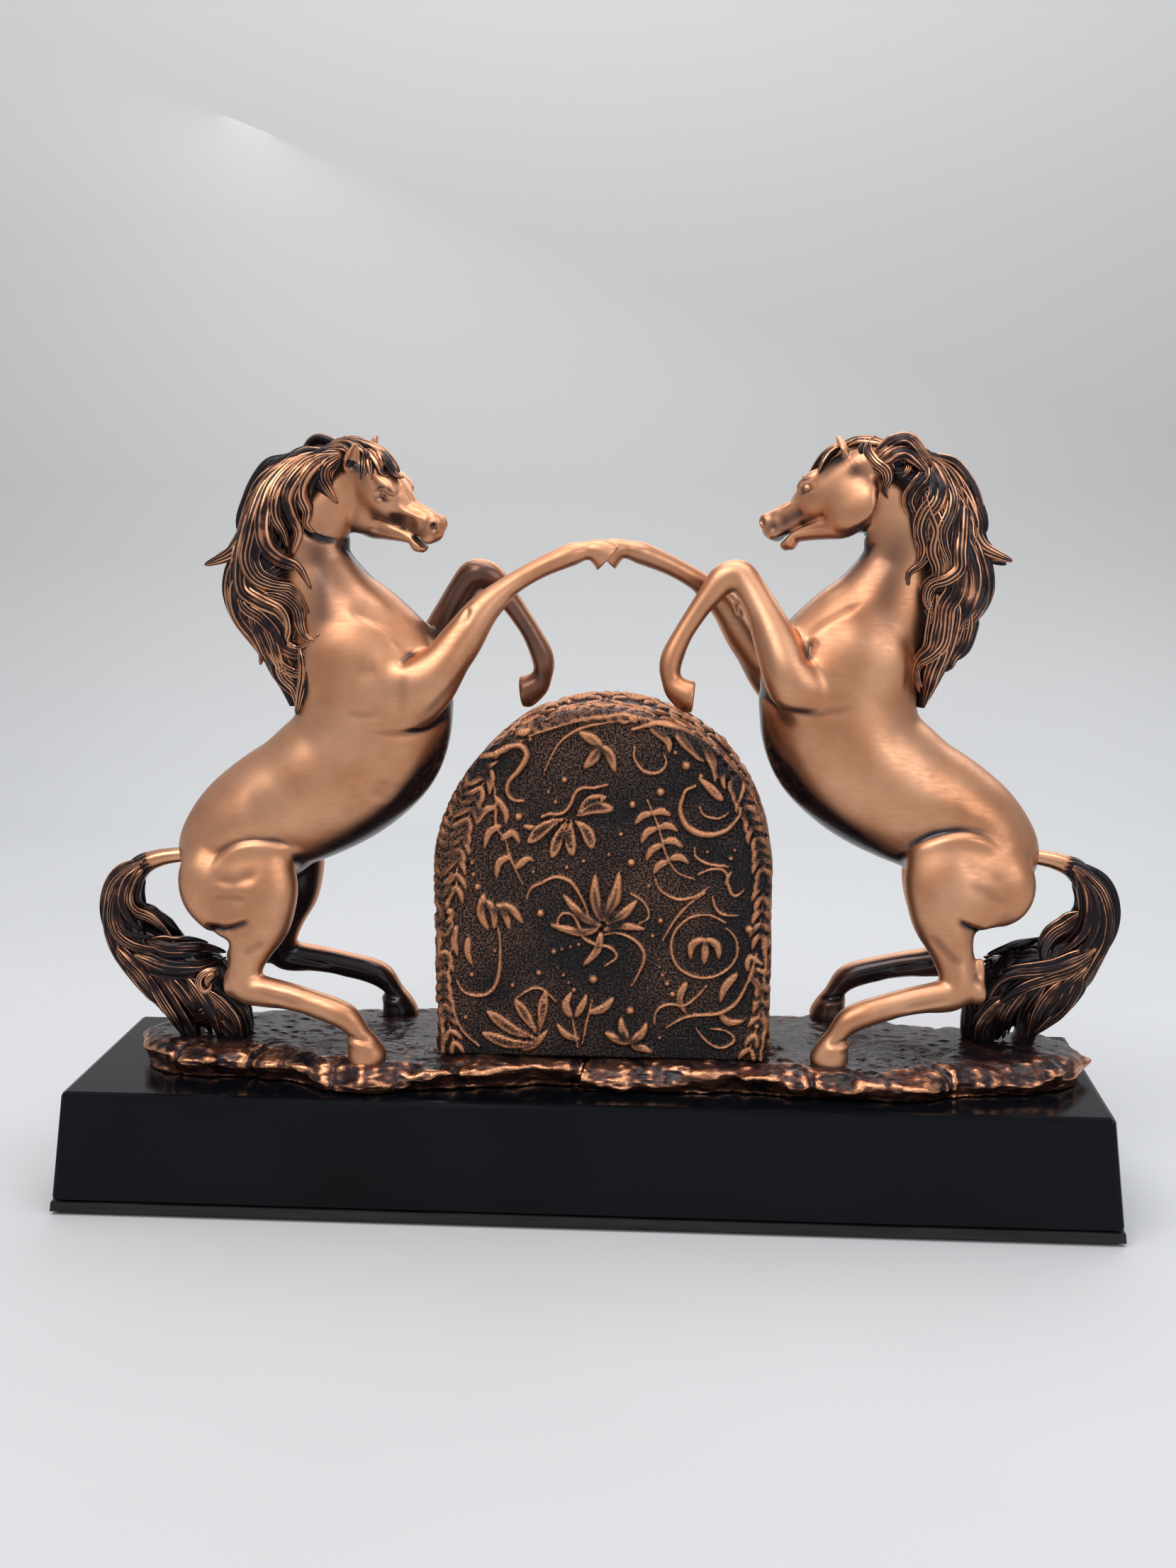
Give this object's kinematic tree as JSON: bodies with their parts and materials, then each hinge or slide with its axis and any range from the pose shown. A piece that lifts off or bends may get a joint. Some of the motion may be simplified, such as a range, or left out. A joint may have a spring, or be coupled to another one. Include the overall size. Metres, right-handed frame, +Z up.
{
  "type": "bronze horse statue",
  "caption": "Pair of rearing horses with touching forehooves above a carved dome block, on rocky ground and a tapered black plinth.",
  "frame": {"origin": "centre of the plinth's underside, where the felt pad rests", "axes": "+Z up, +X along the plinth's long side, +Y from the front to the back"},
  "size_m": [0.4525, 0.1202, 0.3299],
  "materials": {
    "bronze_plate": "satin brushed copper-bronze plate, brown patina in the hollows",
    "dark_patina": "near-black brown patina with polished copper ridges",
    "rock_patina": "glossy lacquered dark patina with copper showing along the broken edges",
    "block_patina": "stippled charcoal-brown patina, relief rubbed back to copper",
    "black_lacquer": "gloss black lacquer",
    "board": "fibreboard stained black",
    "felt": "black wool felt",
    "steel": "zinc-plated steel"
  },
  "bodies": {
    "root": {"arch_casing": "block_patina", "arch_left_screw": "steel", "arch_left_washer": "steel", "arch_right_screw": "steel", "arch_right_washer": "steel", "base_board_screw_1": "steel", "base_board_screw_2": "steel", "base_board_screw_3": "steel", "base_board_screw_4": "steel", "felt_pad": "felt", "ground_left": "rock_patina", "ground_left_1_screw": "steel", "ground_left_1_washer": "steel", "ground_left_2_screw": "steel", "ground_left_2_washer": "steel", "ground_right": "rock_patina", "ground_right_1_screw": "steel", "ground_right_1_washer": "steel", "ground_right_2_screw": "steel", "ground_right_2_washer": "steel", "left_body": "bronze_plate", "left_foreleg_bent": "bronze_plate", "left_foreleg_extended": "bronze_plate", "left_forelock": "dark_patina", "left_hind_leg_left": "bronze_plate", "left_hind_leg_right": "bronze_plate", "left_hip_rod": "steel", "left_hoof_stud_left": "steel", "left_hoof_stud_right": "steel", "left_mane": "dark_patina", "left_shoulder_rod": "steel", "left_tail": "dark_patina", "left_tail_pin": "steel", "plinth_base_board": "board", "plinth_shell": "black_lacquer", "right_body": "bronze_plate", "right_foreleg_bent": "bronze_plate", "right_foreleg_extended": "bronze_plate", "right_forelock": "dark_patina", "right_hind_leg_left": "bronze_plate", "right_hind_leg_right": "bronze_plate", "right_hip_rod": "steel", "right_hoof_stud_left": "steel", "right_hoof_stud_right": "steel", "right_mane": "dark_patina", "right_shoulder_rod": "steel", "right_tail": "dark_patina", "right_tail_pin": "steel"}
  },
  "joints": []
}
